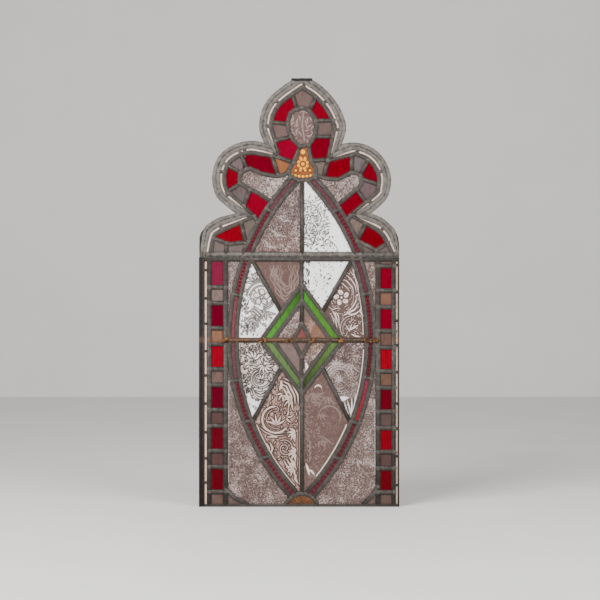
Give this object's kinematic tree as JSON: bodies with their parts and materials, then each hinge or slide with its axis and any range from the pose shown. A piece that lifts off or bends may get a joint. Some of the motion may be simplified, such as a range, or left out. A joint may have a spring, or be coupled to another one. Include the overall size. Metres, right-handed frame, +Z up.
{
  "type": "stained glass window",
  "caption": "Leaded stained-glass church window light: a rectangular lower panel under a lobed trefoil head, with an iron saddle bar tied across the front.",
  "frame": {"origin": "middle of the lower panel's bottom edge, on the window's mid-plane", "axes": "+Z up the window, +X to the right, +Y away from the viewer; the side with the saddle bar faces -Y"},
  "size_m": [0.561, 0.0149, 1.2],
  "materials": {
    "lead_came": "dull grey weathered lead",
    "rusty_iron": "rusty",
    "cream_glass": "opal, semi-gloss",
    "red_glass": "gloss",
    "pink_glass": "gloss",
    "grey_brown_glass": "painted, semi-gloss",
    "amber_glass": "gloss",
    "green_glass": "gloss",
    "white_glass": "textured, semi-gloss"
  },
  "bodies": {
    "root": {"lower_leading": "lead_came", "head_leading": "lead_came", "saddle_bar": "rusty_iron", "fillets_left": "cream_glass", "fillets_right": "cream_glass", "border_left": "red_glass", "border_right": "red_glass", "oval_strip_left": "pink_glass", "oval_strip_right": "pink_glass", "quarry_top_left": "grey_brown_glass", "quarry_top_right": "white_glass", "quarry_flower_left": "white_glass", "quarry_flower_right": "grey_brown_glass", "quarry_side_left": "white_glass", "quarry_side_right": "grey_brown_glass", "quarry_scroll_left": "cream_glass", "quarry_scroll_right": "grey_brown_glass", "spandrel_top_left": "grey_brown_glass", "spandrel_top_right": "grey_brown_glass", "spandrel_bottom_left": "grey_brown_glass", "spandrel_bottom_right": "grey_brown_glass", "corner_bit_left": "grey_brown_glass", "corner_bit_right": "grey_brown_glass", "half_round": "amber_glass", "green_upper_left": "green_glass", "green_upper_right": "green_glass", "green_lower_left": "green_glass", "green_lower_right": "green_glass", "diamond_upper_left": "grey_brown_glass", "diamond_upper_right": "grey_brown_glass", "diamond_lower_left": "grey_brown_glass", "diamond_lower_right": "grey_brown_glass", "centre_upper": "red_glass", "centre_lower": "pink_glass", "fillets_left_shoulder": "cream_glass", "fillets_left_lobe": "cream_glass", "fillets_top_lobe": "cream_glass", "fillets_right_lobe": "cream_glass", "fillets_right_shoulder": "cream_glass", "head_strip_left": "pink_glass", "head_strip_right": "pink_glass", "head_triangle_left": "grey_brown_glass", "head_triangle_right": "white_glass", "top_lobe_ring": "red_glass", "top_lobe_oval": "grey_brown_glass", "amber_bell": "amber_glass", "small_amber_left": "amber_glass", "small_brown_right": "grey_brown_glass", "left_lobe_ring": "red_glass", "left_lobe_drop": "grey_brown_glass", "right_lobe_ring": "red_glass", "right_lobe_drop": "grey_brown_glass", "left_shoulder_red": "red_glass", "left_shoulder_outer": "grey_brown_glass", "left_shoulder_inner": "grey_brown_glass", "left_shoulder_corner": "grey_brown_glass", "right_shoulder_red": "red_glass", "right_shoulder_corner": "grey_brown_glass", "right_shoulder_outer": "grey_brown_glass", "right_shoulder_sliver": "grey_brown_glass"}
  },
  "joints": []
}
